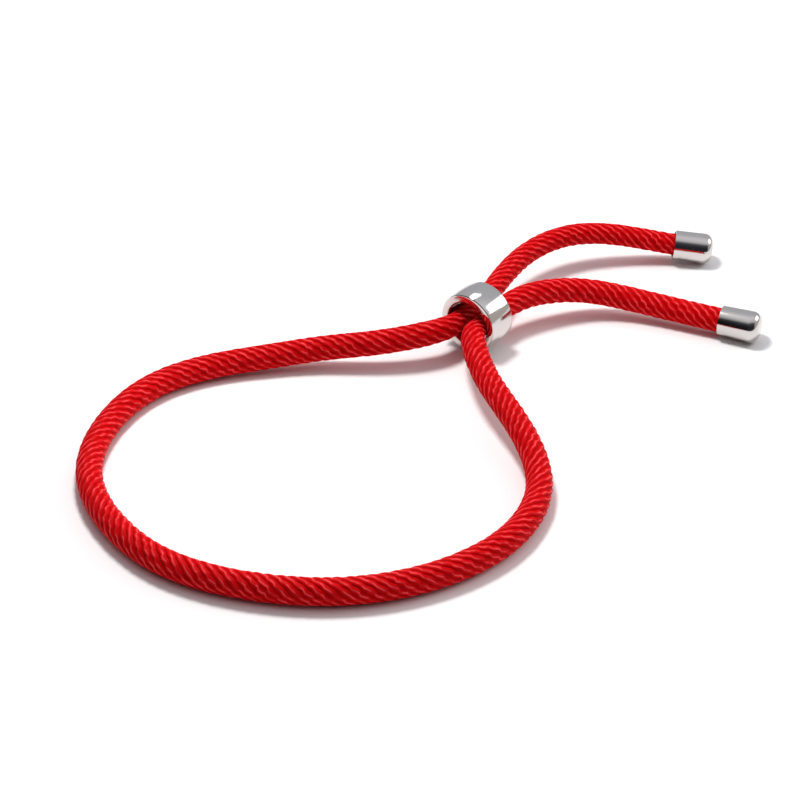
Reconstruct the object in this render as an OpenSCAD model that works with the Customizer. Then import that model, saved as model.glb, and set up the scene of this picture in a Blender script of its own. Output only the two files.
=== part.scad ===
/* [Cord] */
// Diameter of the cord where nothing squeezes it
cord_d = 3; // [2.8:0.1:3]
// Diameter of the far tail, which is twisted a little tighter
far_tail_d = 2.7; // [2.6:0.1:3]
// Width of each pass of the cord where the slider squeezes it
squeezed_w = 2.4; // [2:0.1:2.4]
// Height of each pass of the cord where the slider squeezes it
squeezed_h = 2.7; // [2.4:0.1:3]

/* [Slider] */
// Outer diameter at the middle of its barrel
slider_d = 7.6; // [7.5:0.1:8]
// Length along its bore
slider_l = 3.9; // [3.6:0.1:4.2]
// Diameter of the bore that both passes of the cord share
slider_bore = 5.4; // [5.3:0.1:5.5]
// How much wider the barrel's radius is at its middle than at its ends
slider_swell = 0.1; // [0.05:0.05:0.15]
// Radius of the rounding of the wall's outer edges
slider_round = 0.4; // [0.3:0.05:0.45]
// Radius of the rounding of the bore's edges
slider_lip = 0.2; // [0.1:0.05:0.25]

/* [End caps] */
// Outer diameter
cap_d = 3.8; // [3.7:0.1:4.2]
// Length from mouth to tip
cap_l = 4.7; // [4.6:0.1:6]
// Diameter of the blind bore that holds the cord's end
cap_bore = 3.2; // [3.2:0.1:3.4]
// Thickness of metal at the tip
cap_tip = 0.8; // [0.6:0.1:1.4]
// Radius of the rounding round the tip
cap_round = 1.1; // [0.8:0.1:1.4]
// How much the outer radius shrinks at the pressed mouth
mouth_taper = 0.1; // [0:0.02:0.14]

/* [Hidden] */
$fn = 64;

// Height of the cord's middle where it lies on the surface
lie = cord_d / 2;
// Height of a cap's axis where the cap lies on the surface
cap_lie = cap_d / 2;
// Height of the slider's axis: the slider stands on the surface too
slider_z = slider_d / 2;
// Plan place of the slider's middle and the plan angle of its bore
slider_at = [5, 14.2];
slider_turn = 52;
// Distance of each pass of the cord from the bore's axis, sideways and downwards
pass_offset = slider_bore / 4 - 0.05;
pass_drop = 0.2;
// Length of the stretch at the mouth over which a cap narrows
mouth_l = 1;
// Clearance between the cord's end and the bottom of a cap's bore
end_gap = 0.1;

// The tube that stands for the cord: sides of each ring, and rings in each span of the route
sides = 8;
rings_per_span = 2;

// Rows of the route: a place, then the cord's width and height there
function free(x, y, z) = [x, y, z, cord_d, cord_d];
function thin(x, y, z) = [x, y, z, far_tail_d, far_tail_d];
// The same for a place inside the slider, given in the slider's own directions
function in_slider(along, across) = [
    slider_at.x + along * cos(slider_turn) + across * sin(slider_turn),
    slider_at.y + along * sin(slider_turn) - across * cos(slider_turn),
    slider_z - pass_drop,
    squeezed_w,
    squeezed_h
];

// The cord's route from the far tail's end to the near tail's end.
// The cord follows a smooth curve that these places pull on.
route = [
    // Far tail, from inside its cap to the slider
    thin(33.4, 33, cap_lie),
    thin(29.8, 33.3, 2.3),
    thin(26.2, 33.6, 2.9),
    thin(21, 33.3, 4.1),
    thin(15.5, 32, 4.5),
    thin(10.5, 27.5, 4.2),
    thin(7.5, 21.5, 3.9),
    // Far pass through the slider
    in_slider(2.4, -pass_offset),
    in_slider(0, -pass_offset),
    in_slider(-2.4, -pass_offset),
    // Down from the slider to the surface
    free(1, 11.2, 3.9),
    free(-5.5, 9.5, 3.3),
    free(-12.5, 10, 2.4),
    free(-18.5, 9, 1.8),
    // Round the loop on the surface
    free(-26, 7.5, lie),
    free(-33, 3, lie),
    free(-37, -6, lie),
    free(-37.5, -14.5, lie),
    free(-34, -22.5, lie),
    free(-28, -29.5, lie),
    free(-19, -33, lie),
    free(-10, -34, lie),
    free(-1.5, -32, lie),
    free(5.5, -27.5, lie),
    free(9.5, -22, lie),
    free(11.5, -15, lie),
    // Up again to the slider
    free(9.5, -7.5, 3),
    free(6, 0, 3.7),
    free(4.8, 5.5, 3.8),
    free(4.3, 9.7, 3.8),
    // Near pass through the slider
    in_slider(-2.4, pass_offset),
    in_slider(0, pass_offset),
    in_slider(2.4, pass_offset),
    // Near tail, from the slider to inside its cap
    free(9, 17.5, 3.9),
    free(12.5, 19.5, 4.1),
    free(18, 21.5, 3.2),
    free(24, 20.7, 2.1),
    free(30.3, 18, cap_lie),
    free(33.7, 16.5, cap_lie),
    free(37.1, 15, cap_lie)
];
spans = len(route) - 1;
// The route with one more point past each end, so that the curve starts and ends on it, straight
pulled = concat(
    [2 * route[0] - route[1]],
    route,
    [2 * route[spans] - route[spans - 1]]
);

function unit(v) = v / norm(v);

// Middle, width and height of the cord at share t of span i: a uniform cubic B-spline
function middle(i, t) = (
    pow(1 - t, 3) * pulled[i]
    + (3 * pow(t, 3) - 6 * pow(t, 2) + 4) * pulled[i + 1]
    + (-3 * pow(t, 3) + 3 * pow(t, 2) + 3 * t + 1) * pulled[i + 2]
    + pow(t, 3) * pulled[i + 3]
) / 6;

// Direction of the cord at the same place
function heading(i, t) = let (
    d = -pow(1 - t, 2) * pulled[i]
        + (3 * pow(t, 2) - 4 * t) * pulled[i + 1]
        + (-3 * pow(t, 2) + 2 * t + 1) * pulled[i + 2]
        + pow(t, 2) * pulled[i + 3]
) unit([d.x, d.y, d.z]);

// One ring of the tube
function ring(i, t) = let (
    m = middle(i, t),
    along = heading(i, t),
    across = unit(cross(along, [0, 0, 1])),
    up = cross(across, along)
) [
    for (k = [0:sides - 1]) let (a = 360 * k / sides)
        [m.x, m.y, m.z] + across * m[3] / 2 * cos(a) + up * m[4] / 2 * sin(a)
];

module cord() {
    last = spans * rings_per_span;
    points = [
        for (n = [0:last]) let (i = min(floor(n / rings_per_span), spans - 1))
            each ring(i, n / rings_per_span - i)
    ];
    walls = [
        for (n = [0:last - 1], k = [0:sides - 1]) let (
            here = n * sides,
            next = here + sides,
            k2 = (k + 1) % sides
        )
            each [[here + k, next + k, next + k2], [here + k, next + k2, here + k2]]
    ];
    start = [[for (k = [0:sides - 1]) k]];
    end = [[for (k = [sides - 1:-1:0]) last * sides + k]];
    color("crimson")
        polyhedron(points, concat(walls, start, end));
}

// The slider's section: radius to the right, place along the bore upwards.
// The barrel is one long arc that runs smoothly into the rounding of the wall's outer edges.
module slider_section() {
    half = slider_l / 2;
    round_z = half - slider_round;
    lip_at = [slider_bore / 2 + slider_lip, half - slider_lip];
    barrel_r = (pow(round_z, 2) + pow(slider_swell, 2)) / (2 * slider_swell);
    barrel_at = slider_d / 2 - barrel_r;
    round_at = [barrel_at + sqrt(pow(barrel_r - slider_round, 2) - pow(round_z, 2)), round_z];
    // Just past the barrel, on the line from its centre through the centre of the rounding
    past = [barrel_at, 0] + (round_at - [barrel_at, 0]) * (barrel_r + 1) / (barrel_r - slider_round);
    intersection() {
        translate([barrel_at, 0])
            circle(barrel_r, $fn = 512);
        polygon([
            [slider_bore / 2, -lip_at.y],
            [lip_at.x, -lip_at.y],
            [lip_at.x, -half],
            [round_at.x, -half],
            [round_at.x, -round_at.y],
            [past.x, -past.y],
            past,
            round_at,
            [round_at.x, half],
            [lip_at.x, half],
            lip_at,
            [slider_bore / 2, lip_at.y]
        ]);
    }
    for (side = [-1, 1]) {
        translate([round_at.x, side * round_at.y])
            circle(slider_round);
        translate([lip_at.x, side * lip_at.y])
            circle(slider_lip);
    }
}

module slider() {
    color("silver")
        translate([slider_at.x, slider_at.y, slider_z])
            rotate([0, 90, slider_turn])
                rotate_extrude()
                    slider_section();
}

// A cap with its mouth at the origin, opening downwards
module end_cap() {
    r = cap_d / 2;
    difference() {
        rotate_extrude()
            intersection() {
                union() {
                    polygon([
                        [0, 0],
                        [r - mouth_taper, 0],
                        [r, mouth_l],
                        [r, cap_l - cap_round],
                        [0, cap_l - cap_round]
                    ]);
                    translate([0, cap_l - cap_round])
                        square([r - cap_round, cap_round]);
                    translate([r - cap_round, cap_l - cap_round])
                        circle(cap_round);
                }
                square([r, cap_l]);
            }
        translate([0, 0, -1])
            cylinder(h = 1 + cap_l - cap_tip, d = cap_bore);
    }
}

// Sets a cap on an end of the cord, in line with it, the end inside the bore
module cap_on_end(end, outward) {
    mouth = end - outward * (cap_l - cap_tip - end_gap);
    color("lightgray")
        translate(mouth)
            rotate([0, acos(outward.z), atan2(outward.y, outward.x)])
                end_cap();
}

module end_cap_far() {
    m = middle(0, 0);
    cap_on_end([m.x, m.y, m.z], -heading(0, 0));
}

module end_cap_near() {
    m = middle(spans - 1, 1);
    cap_on_end([m.x, m.y, m.z], heading(spans - 1, 1));
}

cord();
slider();
end_cap_far();
end_cap_near();
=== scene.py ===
# %% [markdown]
# # A string bracelet of red cord with a polished steel slider
#
# One red twisted cord makes the whole bracelet: a loop for the wrist, both ends drawn side by side
# through a steel slider, and a steel cap on each free end. The CAD model already holds every piece
# at its real size. Here each piece gets the look of the real one, in the same place, in metres.
# We load the CAD model first, as a frame that never moves.

# %% Load the CAD model
from math import cos, hypot, pi, radians, sin, sqrt

import bmesh
import bpy
from mathutils import Matrix, Vector, noise


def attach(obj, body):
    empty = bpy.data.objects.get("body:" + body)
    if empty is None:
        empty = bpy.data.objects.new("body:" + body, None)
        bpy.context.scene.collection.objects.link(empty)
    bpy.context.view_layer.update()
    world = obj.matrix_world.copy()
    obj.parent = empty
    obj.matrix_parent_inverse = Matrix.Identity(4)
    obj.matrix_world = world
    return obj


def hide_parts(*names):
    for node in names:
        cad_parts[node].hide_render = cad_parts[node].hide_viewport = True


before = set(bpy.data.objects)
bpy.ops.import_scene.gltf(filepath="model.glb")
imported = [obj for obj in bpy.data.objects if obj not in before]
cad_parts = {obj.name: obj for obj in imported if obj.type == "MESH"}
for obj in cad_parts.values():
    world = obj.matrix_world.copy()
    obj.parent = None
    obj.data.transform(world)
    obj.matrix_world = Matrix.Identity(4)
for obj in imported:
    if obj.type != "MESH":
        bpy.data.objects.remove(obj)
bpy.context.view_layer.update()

MM = 0.001
print("CAD pieces:", sorted(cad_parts))

# %% [markdown]
# ## The camera
#
# The photograph was taken from the front and above, through a long lens: the far and the near side
# of the loop have nearly the same scale. The camera could be placed by eye, but here its height,
# distance and lens were worked out from the loop's outline, so the numbers are simply stated.
# It stands before the middle of the bracelet, looks straight ahead and is only tipped down.

# %% Place the camera
CAMERA_AT = Vector((-3.9, -219.4, 150.0)) * MM
CAMERA_TIPPED_DOWN = radians(34.03)
CAMERA_LENS_MM = 107.3
CAMERA_SENSOR_MM = 36
NEAREST_SEEN = 10 * MM

bpy.ops.object.camera_add(location=CAMERA_AT, rotation=(pi / 2 - CAMERA_TIPPED_DOWN, 0, 0))
camera = bpy.context.object
camera.name = "camera"
camera.data.lens = CAMERA_LENS_MM
camera.data.sensor_width = CAMERA_SENSOR_MM
camera.data.clip_start = NEAREST_SEEN
bpy.context.scene.camera = camera
print("camera height above the table:", round(CAMERA_AT.z / MM), "mm")

# %% [markdown]
# ## The cord's route
#
# A cord lies on one smooth curve. We could draw it as a curve object, but the twisted yarns need to
# know at every point which way the cord runs and how much it is squeezed, so we work it out ourselves.
# The places below are the CAD model's own: each row is a place in mm, then the cord's width and
# height there. The curve is pulled towards the places without going through them, as a bent cord is.

# %% List the places that the cord follows
CORD_D = 3.0
FAR_TAIL_D = 2.7
SQUEEZED_W = 2.4
SQUEEZED_H = 2.7
SLIDER_D = 7.6
SLIDER_BORE = 5.4
SLIDER_AT = (5.0, 14.2, SLIDER_D / 2)
SLIDER_TURN = radians(52)
# Each pass through the slider runs to one side of the bore's axis and a little below it
PASS_OFFSET = SLIDER_BORE / 4 - 0.05
PASS_DROP = 0.2
PASS_REACH = 2.4
CAP_D = 3.8
# Heights of the cord's and a cap's middle where they lie on the table
LIE = CORD_D / 2
CAP_LIE = CAP_D / 2


def free(x, y, z):
    return (x, y, z, CORD_D, CORD_D)


def thin(x, y, z):
    return (x, y, z, FAR_TAIL_D, FAR_TAIL_D)


def in_slider(along, across):
    c, s = cos(SLIDER_TURN), sin(SLIDER_TURN)
    x = SLIDER_AT[0] + along * c + across * s
    y = SLIDER_AT[1] + along * s - across * c
    return (x, y, SLIDER_AT[2] - PASS_DROP, SQUEEZED_W, SQUEEZED_H)


far_tail = [
    thin(33.4, 33, CAP_LIE), thin(29.8, 33.3, 2.3), thin(26.2, 33.6, 2.9), thin(21, 33.3, 4.1),
    thin(15.5, 32, 4.5), thin(10.5, 27.5, 4.2), thin(7.5, 21.5, 3.9),
]
far_pass = [in_slider(along, -PASS_OFFSET) for along in (PASS_REACH, 0, -PASS_REACH)]
loop = [
    free(1, 11.2, 3.9), free(-5.5, 9.5, 3.3), free(-12.5, 10, 2.4), free(-18.5, 9, 1.8),
    free(-26, 7.5, LIE), free(-33, 3, LIE), free(-37, -6, LIE), free(-37.5, -14.5, LIE),
    free(-34, -22.5, LIE), free(-28, -29.5, LIE), free(-19, -33, LIE), free(-10, -34, LIE),
    free(-1.5, -32, LIE), free(5.5, -27.5, LIE), free(9.5, -22, LIE), free(11.5, -15, LIE),
    free(9.5, -7.5, 3), free(6, 0, 3.7), free(4.8, 5.5, 3.8), free(4.3, 9.7, 3.8),
]
near_pass = [in_slider(along, PASS_OFFSET) for along in (-PASS_REACH, 0, PASS_REACH)]
near_tail = [
    free(9, 17.5, 3.9), free(12.5, 19.5, 4.1), free(18, 21.5, 3.2), free(24, 20.7, 2.1),
    free(30.3, 18, CAP_LIE), free(33.7, 16.5, CAP_LIE), free(37.1, 15, CAP_LIE),
]
route = [Vector(row) for row in far_tail + far_pass + loop + near_pass + near_tail]
print("places on the route:", len(route))

# %% Draw the smooth curve that they pull on
SAMPLES_PER_SPAN = 24
# One more place past each end makes the curve start and end on the route's own ends
pulled = [2 * route[0] - route[1]] + route + [2 * route[-1] - route[-2]]


def middle(i, t):
    """Middle, width and height of the cord at share t of span i, on a uniform cubic B-spline."""
    a, b, c, d = pulled[i:i + 4]
    return ((1 - t) ** 3 * a + (3 * t ** 3 - 6 * t ** 2 + 4) * b
            + (-3 * t ** 3 + 3 * t ** 2 + 3 * t + 1) * c + t ** 3 * d) / 6


spans = len(route) - 1
samples = [middle(i, n / SAMPLES_PER_SPAN) for i in range(spans) for n in range(SAMPLES_PER_SPAN)]
samples.append(middle(spans - 1, 1))
reached = [0.0]
for here, there in zip(samples, samples[1:]):
    reached.append(reached[-1] + (there - here).xyz.length)
cord_length = reached[-1]
print("cord from end to end:", round(cord_length, 1), "mm")

# %% Follow the curve by its length
STEP = 0.2


def stations(step):
    """Middle, across, up, width and height of the cord at even steps of its length."""
    count = round(cord_length / step)
    i = 0
    places = []
    for n in range(count + 1):
        at = cord_length * n / count
        while i < len(samples) - 2 and reached[i + 1] < at:
            i += 1
        share = (at - reached[i]) / (reached[i + 1] - reached[i])
        places.append(samples[i].lerp(samples[i + 1], share))
    rows = []
    for n, here in enumerate(places):
        before, after = places[max(n - 1, 0)], places[min(n + 1, count)]
        along = (after.xyz - before.xyz).normalized()
        across = along.cross(Vector((0, 0, 1))).normalized()
        up = across.cross(along)
        rows.append((cord_length * n / count, here.xyz, across, up, here[3], here[4]))
    return rows


middle_line = stations(STEP)
print("stations along the cord:", len(middle_line))

# %% [markdown]
# ## The twisted cord
#
# The real cord is nylon: nine yarns laid side by side in a right-handed twist, one turn in about
# 10.7 mm. Each yarn is itself two plies twisted together, so it stands up as a rib with small kinks,
# no two quite alike, and a deep groove lies between it and the next. A bump map on a plain tube would
# leave the edge of the cord smooth, and eighteen thin tubes would cost too many faces, so each yarn
# is one tube whose section is the outline of two plies side by side, turning as it goes along.
# Whether the real cord has a soft core doesn't show, so none is made.
#
# No real cord runs quite true. Slow noise along the cord lets each yarn stray a little, and its two
# plies turn now faster, now slower. Such noise gives the same numbers at every run.

# %% Shape one yarn
YARNS = 9
TURN = 10.7
# Share of the cord's radius at which a yarn's middle lies
YARN_AT = 0.6
# Radius of a ply, and how far its middle lies from the yarn's middle
PLY_RADIUS = 0.52
PLY_APART = 0.055
BUMPS_PER_TURN = 11.25
# How far a yarn strays round the cord and its plies round each other, in radians, and how far a
# yarn strays outwards, as a share of the cord's radius
YARN_STRAY = 0.09
PLY_STRAY = 1.8
LIFT_STRAY = 0.012
# Each drift's waves in a mm of cord, then how far yarns lie apart in the noise, and its own layer there
YARN_DRIFT = (0.3, 3.7, 1.5)
PLY_DRIFT = (0.3, 2.3, 4.5)
LIFT_DRIFT = (0.7, 5.1, 7.5)


def two_plies(angle):
    """Distance from a yarn's middle to the outline of its two plies."""
    c, s = abs(cos(angle)), sin(angle)
    return PLY_APART * c + sqrt(PLY_RADIUS ** 2 - (PLY_APART * s) ** 2)


def drift(kind, at, k):
    """Slow noise between -1 and 1 along yarn k, of one kind of drift."""
    per_mm, apart, layer = kind
    return noise.noise(Vector((at * per_mm, k * apart, layer)))


def yarn_middles(k):
    """For each station, yarn k's middle, the way out of the cord, its plies' turn and its squeeze."""
    found = []
    for at, place, across, up, w, h in middle_line:
        angle = 2 * pi * (k / YARNS - at / TURN) + YARN_STRAY * drift(YARN_DRIFT, at, k)
        plies = angle * BUMPS_PER_TURN / 2 + PLY_STRAY * drift(PLY_DRIFT, at, k)
        out = across * (w * cos(angle)) + up * (h * sin(angle))
        lift = YARN_AT + LIFT_STRAY * drift(LIFT_DRIFT, at, k)
        found.append((place + out * (lift / 2), out.normalized(), plies, (w + h) / (2 * CORD_D)))
    return found


widest = max(two_plies(radians(a)) for a in range(180))
print("a yarn is", round(2 * widest, 2), "mm wide where its plies lie side by side")

# %% [markdown]
# The nylon's colours follow each yarn's crest, the line along its top that catches the light: a painted
# highlight lies along the crest and a painted shade lies in the grooves. A mesh can carry such marks in
# a
# UV map. Here U is the angle from the crest, in radians, and V is the length along the yarn, in mm. The
# crest sways as the plies turn, with a sharper turn to one side, so that it reads as a row of short
# slanting bumps. Each yarn's V starts far from the others', so that their patterns differ.

# %% Wind nine yarns round the curve
# How far the crest sways, in radians, how unevenly, and how much sharper it turns to one side
CREST_SWAY = 0.11
SWAY_UNEVEN = 1.4
SWAY_SHARP = 0.4
SWAY_DRIFT = (0.45, 4.1, 2.5)
YARN_MARKS_APART = 300
# Angles of a section's points, closest together on the side that shows
AROUND = [radians(a) for a in (-62, -42, -25, -8, 8, 25, 42, 62, 180)]


def tube(rings):
    """Faces between the rings of a tube, and one face over each end."""
    size = len(rings[0])
    faces = []
    for here, there in zip(rings, rings[1:]):
        for j in range(size):
            faces.append((here[j], here[(j + 1) % size], there[(j + 1) % size], there[j]))
    faces.append(tuple(rings[-1]))
    faces.append(tuple(reversed(rings[0])))
    return faces


points, faces, marks = [], [], []
for k in range(YARNS):
    line = yarn_middles(k)
    rings = []
    run = 0.0
    for n, (place, out, plies, squeeze) in enumerate(line):
        before, after = line[max(n - 1, 0)][0], line[min(n + 1, len(line) - 1)][0]
        side = (after - before).cross(out).normalized()
        run += (place - before).length
        sway = CREST_SWAY * (1 + SWAY_UNEVEN * drift(SWAY_DRIFT, run, k))
        crest_at = sway * (sin(2 * plies) - SWAY_SHARP * sin(4 * plies))
        first = len(points)
        for angle in AROUND:
            reach = two_plies(angle - plies) * squeeze
            points.append((place + out * (reach * cos(angle)) + side * (reach * sin(angle))) * MM)
            marks.append((angle - crest_at, run + k * YARN_MARKS_APART))
        rings.append(range(first, len(points)))
    faces += tube(rings)
print("yarn points:", len(points))

# %% Make the cord's mesh
mesh = bpy.data.meshes.new("twisted_cord")
mesh.from_pydata(points, [], faces)
yarn_map = mesh.uv_layers.new(name="yarn")
for corner in mesh.loops:
    yarn_map.data[corner.index].uv = marks[corner.vertex_index]
mesh.shade_smooth()
twisted_cord = bpy.data.objects.new("twisted_cord", mesh)
bpy.context.collection.objects.link(twisted_cord)
made = bmesh.new()
made.from_mesh(mesh)
print("cord volume in mm3:", round(made.calc_volume(signed=True) / MM ** 3))
print("cord triangles:", len(made.calc_loop_triangles()))
made.free()

# %% [markdown]
# ## Helpers for every material
#
# A material is a small network of nodes, and building one by hand means many clicks. One helper adds
# a node with its settings and links in one line, one starts a material, and one turns a hex value, as
# a colour picker gives it, to the linear light that the renderer works in.

# %% Write the helpers
def linear(code):
    """Linear colour of an sRGB hex value."""
    parts = [int(code[i:i + 2], 16) / 255 for i in (1, 3, 5)]
    return (*[v / 12.92 if v <= 0.04045 else ((v + 0.055) / 1.055) ** 2.4 for v in parts], 1)


def add(tree, kind, inputs=None, **settings):
    """Adds a node with its settings, and links or sets its inputs."""
    node = tree.nodes.new(kind)
    for name, value in settings.items():
        setattr(node, name, value)
    for name, value in (inputs or {}).items():
        if isinstance(value, bpy.types.NodeSocket):
            tree.links.new(value, node.inputs[name])
        else:
            node.inputs[name].default_value = value
    return node


def new_material(name):
    """A new material, its node tree and its surface shader."""
    material = bpy.data.materials.new(name)
    material.use_nodes = True
    return material, material.node_tree, material.node_tree.nodes["Principled BSDF"]


print("sRGB #808080 is linear", round(linear("#808080")[0], 3))

# %% [markdown]
# ## Red nylon
#
# Nylon yarn is drawn into hair-fine threads that lie along it, and then dyed. The threads are about
# 0.03 mm, too fine for the render, so they are drawn as streaks of about 0.2 mm. The bundle is matt
# as a whole and gives a deep, even red. The crests are pulled smooth and shine more. On them a painted
# highlight lies as pale strokes that come and go, and the grooves get a painted shade of deeper red.
# All of it is laid out on the yarn's UV map, because an even pattern in space would cut across the
# twist. The shades were picked for dyed nylon.

# %% Draw the threads
# Streaks in each radian round the yarn and in each mm along it
THREADS = (3, 0.6, 1)

nylon, tree, surface = new_material("dyed twisted nylon with painted highlight and shade")
uv = add(tree, "ShaderNodeUVMap", uv_map="yarn")
along_yarn = add(tree, "ShaderNodeMapping", {"Vector": uv.outputs["UV"], "Scale": THREADS})
threads = add(
    tree, "ShaderNodeTexNoise",
    {"Vector": along_yarn.outputs["Vector"], "Scale": 1.0, "Detail": 2.0},
    noise_dimensions="2D")
shade = add(
    tree, "ShaderNodeMix",
    {"Factor": threads.outputs["Fac"], "A": linear("#C00005"), "B": linear("#DC0209")},
    data_type="RGBA")
print("a streak is about", round(PLY_RADIUS / THREADS[0], 2), "mm wide")

# %% Find the crests and the grooves
# Angles from the crest, in radians, over which the crest's painted highlight and gloss, and the
# groove's painted shade, fade
CREST_FADES = (0.05, 0.27)
GROOVE_SHADE_FADES = (0.4, 0.66)

parts = add(tree, "ShaderNodeSeparateXYZ", {"Vector": uv.outputs["UV"]})
off_crest = add(tree, "ShaderNodeMath", {0: parts.outputs["X"]}, operation="ABSOLUTE")
# Crest mask: it places the painted highlight and lowers the roughness
crest = add(
    tree, "ShaderNodeMapRange",
    {"Value": off_crest.outputs["Value"], "From Min": CREST_FADES[0], "From Max": CREST_FADES[1],
     "To Min": 1.0, "To Max": 0.0},
    interpolation_type="SMOOTHSTEP")
# Painted shade: the grooves beside each crest are mixed toward a darker red
groove_shade_mask = add(
    tree, "ShaderNodeMapRange",
    {"Value": off_crest.outputs["Value"], "From Min": GROOVE_SHADE_FADES[0],
     "From Max": GROOVE_SHADE_FADES[1]},
    interpolation_type="SMOOTHSTEP")
with_groove_shade = add(
    tree, "ShaderNodeMix",
    {"Factor": groove_shade_mask.outputs["Result"], "A": shade.outputs["Result"], "B": linear("#B20004")},
    data_type="RGBA")
print("a crest is about", round(sum(CREST_FADES) * PLY_RADIUS, 2), "mm wide")

# %% Break the crests' painted highlight into pale strokes
# Painted highlight strokes in each radian round the yarn and in each mm along it
HIGHLIGHT_STROKES = (0.3, 0.8, 1)
# Noise at which a stroke starts and at which it is at its palest
HIGHLIGHT_STROKE_STARTS = (0.4, 0.58)
# Between strokes a crest keeps this share of its painted highlight
HIGHLIGHT_BETWEEN_STROKES = 0.2

along_highlight_stroke = add(tree, "ShaderNodeMapping", {"Vector": uv.outputs["UV"], "Scale": HIGHLIGHT_STROKES})
highlight_stroke_noise = add(
    tree, "ShaderNodeTexNoise",
    {"Vector": along_highlight_stroke.outputs["Vector"], "Scale": 1.0, "Detail": 1.0},
    noise_dimensions="2D")
highlight_strokes = add(
    tree, "ShaderNodeMapRange",
    {"Value": highlight_stroke_noise.outputs["Fac"], "From Min": HIGHLIGHT_STROKE_STARTS[0], "From Max": HIGHLIGHT_STROKE_STARTS[1],
     "To Min": HIGHLIGHT_BETWEEN_STROKES, "To Max": 1.0},
    interpolation_type="SMOOTHSTEP")
painted_highlight = add(
    tree, "ShaderNodeMath",
    {0: crest.outputs["Result"], 1: highlight_strokes.outputs["Result"]},
    operation="MULTIPLY")
# Painted highlight: the crest strokes are mixed toward a pale pink-red
pale = add(
    tree, "ShaderNodeMix",
    {"Factor": painted_highlight.outputs["Value"], "A": with_groove_shade.outputs["Result"], "B": linear("#F5464C")},
    data_type="RGBA")
print("a stroke is about", round(1 / HIGHLIGHT_STROKES[1], 1), "mm long")

# %% Finish the nylon
NYLON_IOR = 1.53
# Loose threads reflect far less than a solid face of nylon does
NYLON_SPECULAR = 0.03
ROUGH_BUNDLE = 0.55
ROUGH_CREST = 0.3
THREAD_DEPTH = 0.02 * MM
THREAD_STRENGTH = 0.5

rough = add(
    tree, "ShaderNodeMapRange",
    {"Value": crest.outputs["Result"], "To Min": ROUGH_BUNDLE, "To Max": ROUGH_CREST})
bump = add(
    tree, "ShaderNodeBump",
    {"Height": threads.outputs["Fac"], "Distance": THREAD_DEPTH,
     "Strength": THREAD_STRENGTH})
tree.links.new(pale.outputs["Result"], surface.inputs["Base Color"])
tree.links.new(rough.outputs["Result"], surface.inputs["Roughness"])
tree.links.new(bump.outputs["Normal"], surface.inputs["Normal"])
surface.inputs["IOR"].default_value = NYLON_IOR
surface.inputs["Specular IOR Level"].default_value = NYLON_SPECULAR
mesh.materials.append(nylon)
print("nodes in the nylon:", len(tree.nodes))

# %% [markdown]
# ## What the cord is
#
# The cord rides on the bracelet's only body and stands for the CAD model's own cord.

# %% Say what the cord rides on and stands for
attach(twisted_cord, "root")
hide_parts("cord")
print("declared:", twisted_cord.name)

# %% [markdown]
# ## The slider
#
# The slider is a short ring turned from steel rod: an almost straight barrel, a straight bore, and
# rounded edges so that it never cuts the cord. A bevelled cylinder would do, but the barrel swells a
# little, so the wall's section is drawn once, as on a lathe, and spun round the bore.
# An operator acts on all that is selected, and a new shape is selected all over, so the helpers
# deselect everything first and then pick one piece.

# %% Write the helpers for modelling
SMOOTH_BELOW = radians(40)


def deselect_all():
    for thing in bpy.context.selected_objects:
        thing.select_set(False)


def select_only(piece):
    deselect_all()
    bpy.context.view_layer.objects.active = piece
    piece.select_set(True)


def in_edit_mode(piece):
    """Opens a piece for editing and gives its mesh."""
    select_only(piece)
    bpy.ops.object.mode_set(mode="EDIT")
    return bmesh.from_edit_mesh(piece.data)


def set_in_place(piece, at, turn):
    """Turns and moves a piece, with its place in its mesh and its object left at the origin."""
    select_only(piece)
    piece.matrix_world = Matrix.Translation(at) @ turn
    bpy.ops.object.transform_apply(location=True, rotation=True, scale=True)
    bpy.ops.object.shade_smooth_by_angle(angle=SMOOTH_BELOW)


print("selected by now:", [thing.name for thing in bpy.context.selected_objects])

# %% Draw the slider's wall
SLIDER_L = 3.9
wall = SLIDER_D / 2 - SLIDER_BORE / 2

deselect_all()
bpy.ops.mesh.primitive_plane_add(
    size=MM, location=((SLIDER_BORE / 2 + wall / 2) * MM, 0, 0), rotation=(pi / 2, 0, 0))
slider = bpy.context.object
slider.name = "steel_slider"
slider.scale = (wall, SLIDER_L, 1)
bpy.ops.object.transform_apply(location=True, rotation=True, scale=True)
print("slider's wall:", round(wall, 2), "by", SLIDER_L, "mm")

# %% Cut the long outer side and swell it
SLIDER_ROUND = 0.4
SLIDER_SWELL = 0.1
BARREL_CUTS = 23
# A point this near to a side or an end, in mm, counts as on it
NEAR = 0.01
round_z = SLIDER_L / 2 - SLIDER_ROUND
barrel_r = (round_z ** 2 + SLIDER_SWELL ** 2) / (2 * SLIDER_SWELL)

work = in_edit_mode(slider)
for edge in work.edges:
    edge.select_set(all(v.co.x > (SLIDER_D / 2 - NEAR) * MM for v in edge.verts))
bmesh.update_edit_mesh(slider.data)
bpy.ops.mesh.subdivide(number_cuts=BARREL_CUTS)
work = bmesh.from_edit_mesh(slider.data)
for point in work.verts:
    if point.co.x > (SLIDER_D / 2 - NEAR) * MM:
        point.co.x -= (barrel_r - sqrt(barrel_r ** 2 - (point.co.z / MM) ** 2)) * MM
bmesh.update_edit_mesh(slider.data)
print("radius of the barrel's swell:", round(barrel_r, 1), "mm")

# %% Round the outer corners, then those at the bore
SLIDER_LIP = 0.2
OUTER_STEPS = 12
LIP_STEPS = 6

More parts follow.
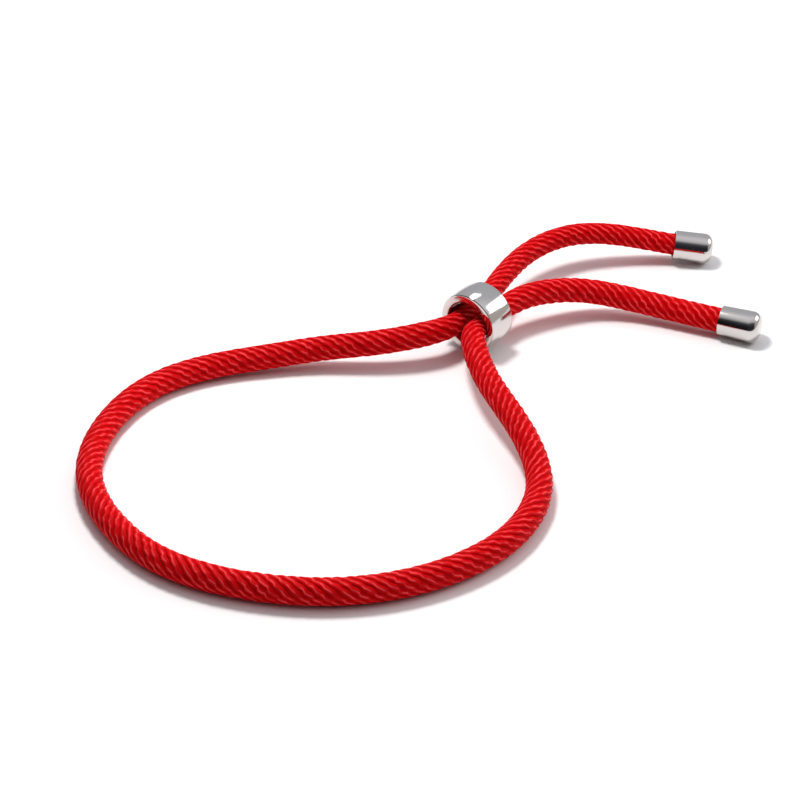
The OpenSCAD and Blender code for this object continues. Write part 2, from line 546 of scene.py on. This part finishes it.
for at_bore, radius, segments in ((False, SLIDER_ROUND, OUTER_STEPS), (True, SLIDER_LIP, LIP_STEPS)):
    work = bmesh.from_edit_mesh(slider.data)
    for point in work.verts:
        at_end = abs(point.co.z) > (SLIDER_L / 2 - NEAR) * MM
        on_bore = point.co.x < (SLIDER_BORE / 2 + NEAR) * MM
        point.select_set(at_end and on_bore == at_bore)
    bmesh.update_edit_mesh(slider.data)
    bpy.ops.mesh.bevel(offset=radius * MM, segments=segments, affect="VERTICES")
print("points of the wall's section:", len(bmesh.from_edit_mesh(slider.data).verts))

# %% Spin the section round the bore and set the slider in place
SLIDER_SIDES = 160
# Points nearer than this are one
ONE_POINT = 0.005 * MM

# The section still has its face, and the spin copies that too, so one stays hidden in the wall at
# every step. To spin the outline alone, the face would be deleted first.
bpy.ops.mesh.select_all(action="SELECT")
bpy.ops.mesh.spin(steps=SLIDER_SIDES, angle=2 * pi, center=(0, 0, 0), axis=(0, 0, 1))
bpy.ops.mesh.select_all(action="SELECT")
bpy.ops.mesh.remove_doubles(threshold=ONE_POINT)
bpy.ops.mesh.normals_make_consistent(inside=False)
bpy.ops.object.mode_set(mode="OBJECT")
bore_way = Matrix.Rotation(SLIDER_TURN, 4, "Z") @ Matrix.Rotation(pi / 2, 4, "Y")
set_in_place(slider, Vector(SLIDER_AT) * MM, bore_way)
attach(slider, "root")
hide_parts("slider")
print("slider faces:", len(slider.data.polygons))

# %% [markdown]
# ## The end caps
#
# Each cap is a small steel cup, drawn from sheet, pressed and glued over the cord's end so that it
# can't fray or slip back through the slider. A cylinder gives the wall: its open end is inset and
# pushed in to make the cup, its closed end is bevelled round, and its mouth is drawn in by 0.1 mm. The
# CAD's cap narrows over its last millimetre. Here the wall has no points between mouth and tip, so it
# narrows evenly all the way, and lies less than 0.1 mm inside the CAD's.

# %% Make a cup
CAP_L = 4.7
CAP_BORE = 3.2
CAP_TIP = 0.8
CAP_SIDES = 96
# A face whose normal is below this looks down
LOOKS_DOWN = -0.9

deselect_all()
bpy.ops.mesh.primitive_cylinder_add(
    vertices=CAP_SIDES, radius=CAP_D / 2 * MM, depth=CAP_L * MM, location=(0, 0, CAP_L / 2 * MM))
cap = bpy.context.object
cap.name = "steel_end_cap_far"
bpy.ops.object.transform_apply(location=True)
work = in_edit_mode(cap)
for face in work.faces:
    face.select_set(face.normal.z < LOOKS_DOWN)
bmesh.update_edit_mesh(cap.data)
bpy.ops.mesh.inset(thickness=(CAP_D - CAP_BORE) / 2 * MM)
bpy.ops.mesh.extrude_region_move(TRANSFORM_OT_translate={"value": (0, 0, (CAP_L - CAP_TIP) * MM)})
print("cup: wall", round((CAP_D - CAP_BORE) / 2, 2), "mm, depth", round(CAP_L - CAP_TIP, 1), "mm")

# %% Round the tip, then the two edges of the mouth
CAP_ROUND = 1.1
TIP_STEPS = 14
MOUTH_ROUND = 0.08
MOUTH_STEPS = 3
# Faces that meet at more than this, in radians, make a sharp edge
SHARP = 1.0

work = bmesh.from_edit_mesh(cap.data)
for edge in work.edges:
    edge.select_set(all(v.co.z > (CAP_L - NEAR) * MM for v in edge.verts))
bmesh.update_edit_mesh(cap.data)
bpy.ops.mesh.bevel(offset=CAP_ROUND * MM, segments=TIP_STEPS)
work = bmesh.from_edit_mesh(cap.data)
for edge in work.edges:
    at_mouth = all(v.co.z < NEAR * MM for v in edge.verts)
    edge.select_set(at_mouth and len(edge.link_faces) == 2 and edge.calc_face_angle() > SHARP)
bmesh.update_edit_mesh(cap.data)
bpy.ops.mesh.bevel(offset=MOUTH_ROUND * MM, segments=MOUTH_STEPS)
print("cap faces:", len(bmesh.from_edit_mesh(cap.data).faces))

# %% Draw the mouth in, and copy the cap
MOUTH_TAPER = 0.1
# Points are drawn in up to this far from the rim, and only those of the mouth's rounding lie so near
MOUTH_L = 1.0

work = bmesh.from_edit_mesh(cap.data)
for point in work.verts:
    radius = hypot(point.co.x, point.co.y)
    if point.co.z < MOUTH_L * MM and radius > CAP_BORE / 2 * MM:
        # Most at the mouth's rim and at the wall's outer side, nothing at the bore
        near_rim = 1 - point.co.z / (MOUTH_L * MM)
        outer = (radius / MM - CAP_BORE / 2) / (CAP_D / 2 - CAP_BORE / 2)
        drawn = radius - MOUTH_TAPER * near_rim * outer * MM
        point.co.xy = point.co.xy * (drawn / radius)
bmesh.update_edit_mesh(cap.data)
bpy.ops.object.mode_set(mode="OBJECT")
other = cap.copy()
other.data = cap.data.copy()
other.name = "steel_end_cap_near"
bpy.context.collection.objects.link(other)
print("caps:", cap.name, "and", other.name)

# %% Set a cap on each end of the cord
END_GAP = 0.1
ends = (
    (cap, route[0], route[1], "end_cap_far"),
    (other, route[-1], route[-2], "end_cap_near"),
)

for piece, end, inner, node in ends:
    outward = (end - inner).xyz.normalized()
    mouth = (end.xyz - outward * (CAP_L - CAP_TIP - END_GAP)) * MM
    set_in_place(piece, mouth, outward.to_track_quat("Z", "Y").to_matrix().to_4x4())
    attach(piece, "root")
    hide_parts(node)

# %% [markdown]
# ## A free cord
#
# The cord leaves the far cap at its mouth and ends in the near one, 3.8 mm inside. Its length is what
# the photograph shows between the caps and what they hide. It is limp and lies loose, with a cap on
# each end.

# %% [markdown]
# ## Polished steel
#
# Slider and caps are stainless steel, turned or pressed and then tumbled with fine grit until they
# shine. Such a surface mirrors its surroundings and blurs them a little, more in one place than in
# another. The grit's own marks are a few hundredths of a millimetre and would vanish in the render,
# so the blur changes in patches of about 0.4 mm. Metal keeps Blender's own IOR.

# %% Mix the steel
GRAIN = 0.4 * MM
LEAST_BLURRED = 0.07
MOST_BLURRED = 0.14

steel, tree, surface = new_material("tumbled stainless steel")
coords = add(tree, "ShaderNodeTexCoord")
grain = add(
    tree, "ShaderNodeTexNoise",
    {"Vector": coords.outputs["Object"], "Scale": 1 / GRAIN, "Detail": 3.0})
rough = add(
    tree, "ShaderNodeMapRange",
    {"Value": grain.outputs["Fac"], "To Min": LEAST_BLURRED, "To Max": MOST_BLURRED})
tree.links.new(rough.outputs["Result"], surface.inputs["Roughness"])
surface.inputs["Base Color"].default_value = linear("#CFCAC7")
surface.inputs["Metallic"].default_value = 1.0
for piece in (slider, cap, other):
    piece.data.materials.clear()
    piece.data.materials.append(steel)
print("pieces of steel:", [piece.name for piece in (slider, cap, other)])

# %% [markdown]
# ## The table
#
# The photograph has a pale, plain ground that runs out of the picture on every side, so one large
# sheet of uncoated paper is enough: it scatters light evenly and mirrors nothing. It is not part of
# the bracelet.

# %% Lay the table
TABLE_SIZE = 3
PAPER_ROUGHNESS = 0.9

deselect_all()
bpy.ops.mesh.primitive_grid_add(x_subdivisions=8, y_subdivisions=8, size=TABLE_SIZE, location=(0, 0, 0))
table = bpy.context.object
table.name = "table"
paper, tree, surface = new_material("matt white paper")
surface.inputs["Base Color"].default_value = linear("#F7F6F5")
surface.inputs["Roughness"].default_value = PAPER_ROUGHNESS
table.data.materials.append(paper)
print("table:", TABLE_SIZE, "m across")

# %% [markdown]
# ## The light
#
# The shadows lie almost straight under the cord and have a narrow soft edge, so one small round bulb
# hangs over the bracelet, to the left and behind. A bulb so near would light the middle of the table
# far more than its corners, so its falloff is made even: the paper stays white all over.

# %% Hang the bulb
BULB_AT = Vector((-22, 38, 130)) * MM
BULB_RADIUS = 18 * MM
BULB_STRENGTH = 30.0

bulb = bpy.data.lights.new("overhead bulb", "POINT")
bulb.shadow_soft_size = BULB_RADIUS
bulb.energy = 1.0
bulb.use_nodes = True
even = add(bulb.node_tree, "ShaderNodeLightFalloff", {"Strength": BULB_STRENGTH})
glow = bulb.node_tree.nodes["Emission"]
bulb.node_tree.links.new(even.outputs["Constant"], glow.inputs["Strength"])
holder = bpy.data.objects.new("overhead bulb", bulb)
holder.location = BULB_AT
bpy.context.collection.objects.link(holder)
print("bulb hangs at", [round(v / MM) for v in BULB_AT], "mm")

# %% [markdown]
# The steel has two more bright patches to mirror: a large panel low on the right, which gives the
# white block on the slider's side, and a small bar close above and behind it, which gives the spot on
# its top. Both are aimed at the slider.

# %% Hang a panel and a bar for the steel to mirror
LIT_PLACE = Vector((SLIDER_AT[0], SLIDER_AT[1], 6)) * MM


def hang_panel(name, way, far, long_way, sizes, watts):
    """Hangs a rectangular lamp that shines at the slider, its first side along long_way."""
    at = LIT_PLACE + way * far
    lamp = bpy.data.lights.new(name, "AREA")
    lamp.shape = "RECTANGLE"
    lamp.size, lamp.size_y = sizes
    lamp.energy = watts
    back = (at - LIT_PLACE).normalized()
    first = (long_way - back * long_way.dot(back)).normalized()
    turn = Matrix((first, back.cross(first), back)).transposed().to_4x4()
    hung = bpy.data.objects.new(name, lamp)
    hung.matrix_world = Matrix.Translation(at) @ turn
    bpy.context.collection.objects.link(hung)
    print(name, "hangs at", [round(v / MM) for v in at], "mm")


hang_panel(
    "side panel", way=Vector((0.838, 0.258, 0.482)), far=0.5,
    long_way=Vector((-0.085, -0.876, 0.475)), sizes=(0.28, 0.205), watts=0.58)
hang_panel(
    "back bar", way=Vector((0.09, 0.6, 0.79)), far=0.06,
    long_way=Vector((0.788, -0.616, 0)), sizes=(0.019, 0.0093), watts=0.0016)

# %% [markdown]
# ## The room
#
# Polished steel shows the rest of the room too. A picture of a studio would do, but a few bands of
# grey are enough: dark low down on the camera's side, nearly white overhead, and grey at the back. The
# bands run round a level axis, by the angle from the camera's side over the ceiling to the back. The
# far left is dimmed, and a pale wall closes the room on the right.

# %% Find the angle of each way of looking
world = bpy.data.worlds.new("pale room")
bpy.context.scene.world = world
world.use_nodes = True
tree = world.node_tree
coords = add(tree, "ShaderNodeTexCoord")
parts = add(tree, "ShaderNodeSeparateXYZ", {"Vector": coords.outputs["Generated"]})
front = add(tree, "ShaderNodeMath", {0: parts.outputs["Y"], 1: -1.0}, operation="MULTIPLY")
lean = add(
    tree, "ShaderNodeMath", {0: parts.outputs["Z"], 1: front.outputs["Value"]},
    operation="ARCTAN2")
share = add(tree, "ShaderNodeMath", {0: lean.outputs["Value"], 1: pi}, operation="DIVIDE")
walls = add(tree, "ShaderNodeValToRGB", {"Fac": share.outputs["Value"]})
print("nodes in the room:", len(tree.nodes))

# %% Paint the bands
# Share of the half turn from the camera's side, over the ceiling, to the back, and the shade there
BANDS = [
    (0.0, "#2E2E34"), (0.16, "#2C2C32"), (0.28, "#54565E"), (0.38, "#D8D8DC"),
    (0.50, "#ECECF0"), (0.60, "#DEE0E6"), (0.68, "#C8CDD4"), (1.0, "#BCBDC2"),
]

ramp = walls.color_ramp
while len(ramp.elements) < len(BANDS):
    ramp.elements.new(0.5)
for stop, (at, code) in zip(ramp.elements, BANDS):
    stop.position = at
    stop.color = linear(code)
print("bands:", len(ramp.elements))

# %% Dim the left and close the right
# How far to the side a way of looking points, from -1 on the left to 1 on the right
LEFT_DIMS = (-0.75, -0.3)
RIGHT_WALL = (0.65, 0.9)
LEFT_STRENGTH = 0.15

dim = add(
    tree, "ShaderNodeMapRange",
    {"Value": parts.outputs["X"], "From Min": LEFT_DIMS[0], "From Max": LEFT_DIMS[1],
     "To Min": LEFT_STRENGTH, "To Max": 1.0},
    interpolation_type="SMOOTHSTEP")
near_wall = add(
    tree, "ShaderNodeMapRange",
    {"Value": parts.outputs["X"], "From Min": RIGHT_WALL[0], "From Max": RIGHT_WALL[1]},
    interpolation_type="SMOOTHSTEP")
room = add(
    tree, "ShaderNodeMix",
    {"Factor": near_wall.outputs["Result"], "A": walls.outputs["Color"], "B": linear("#C2BEBA")},
    data_type="RGBA")
tree.links.new(room.outputs["Result"], tree.nodes["Background"].inputs["Color"])
tree.links.new(dim.outputs["Result"], tree.nodes["Background"].inputs["Strength"])
bpy.context.scene.view_settings.view_transform = "Standard"
print("view transform:", bpy.context.scene.view_settings.view_transform)
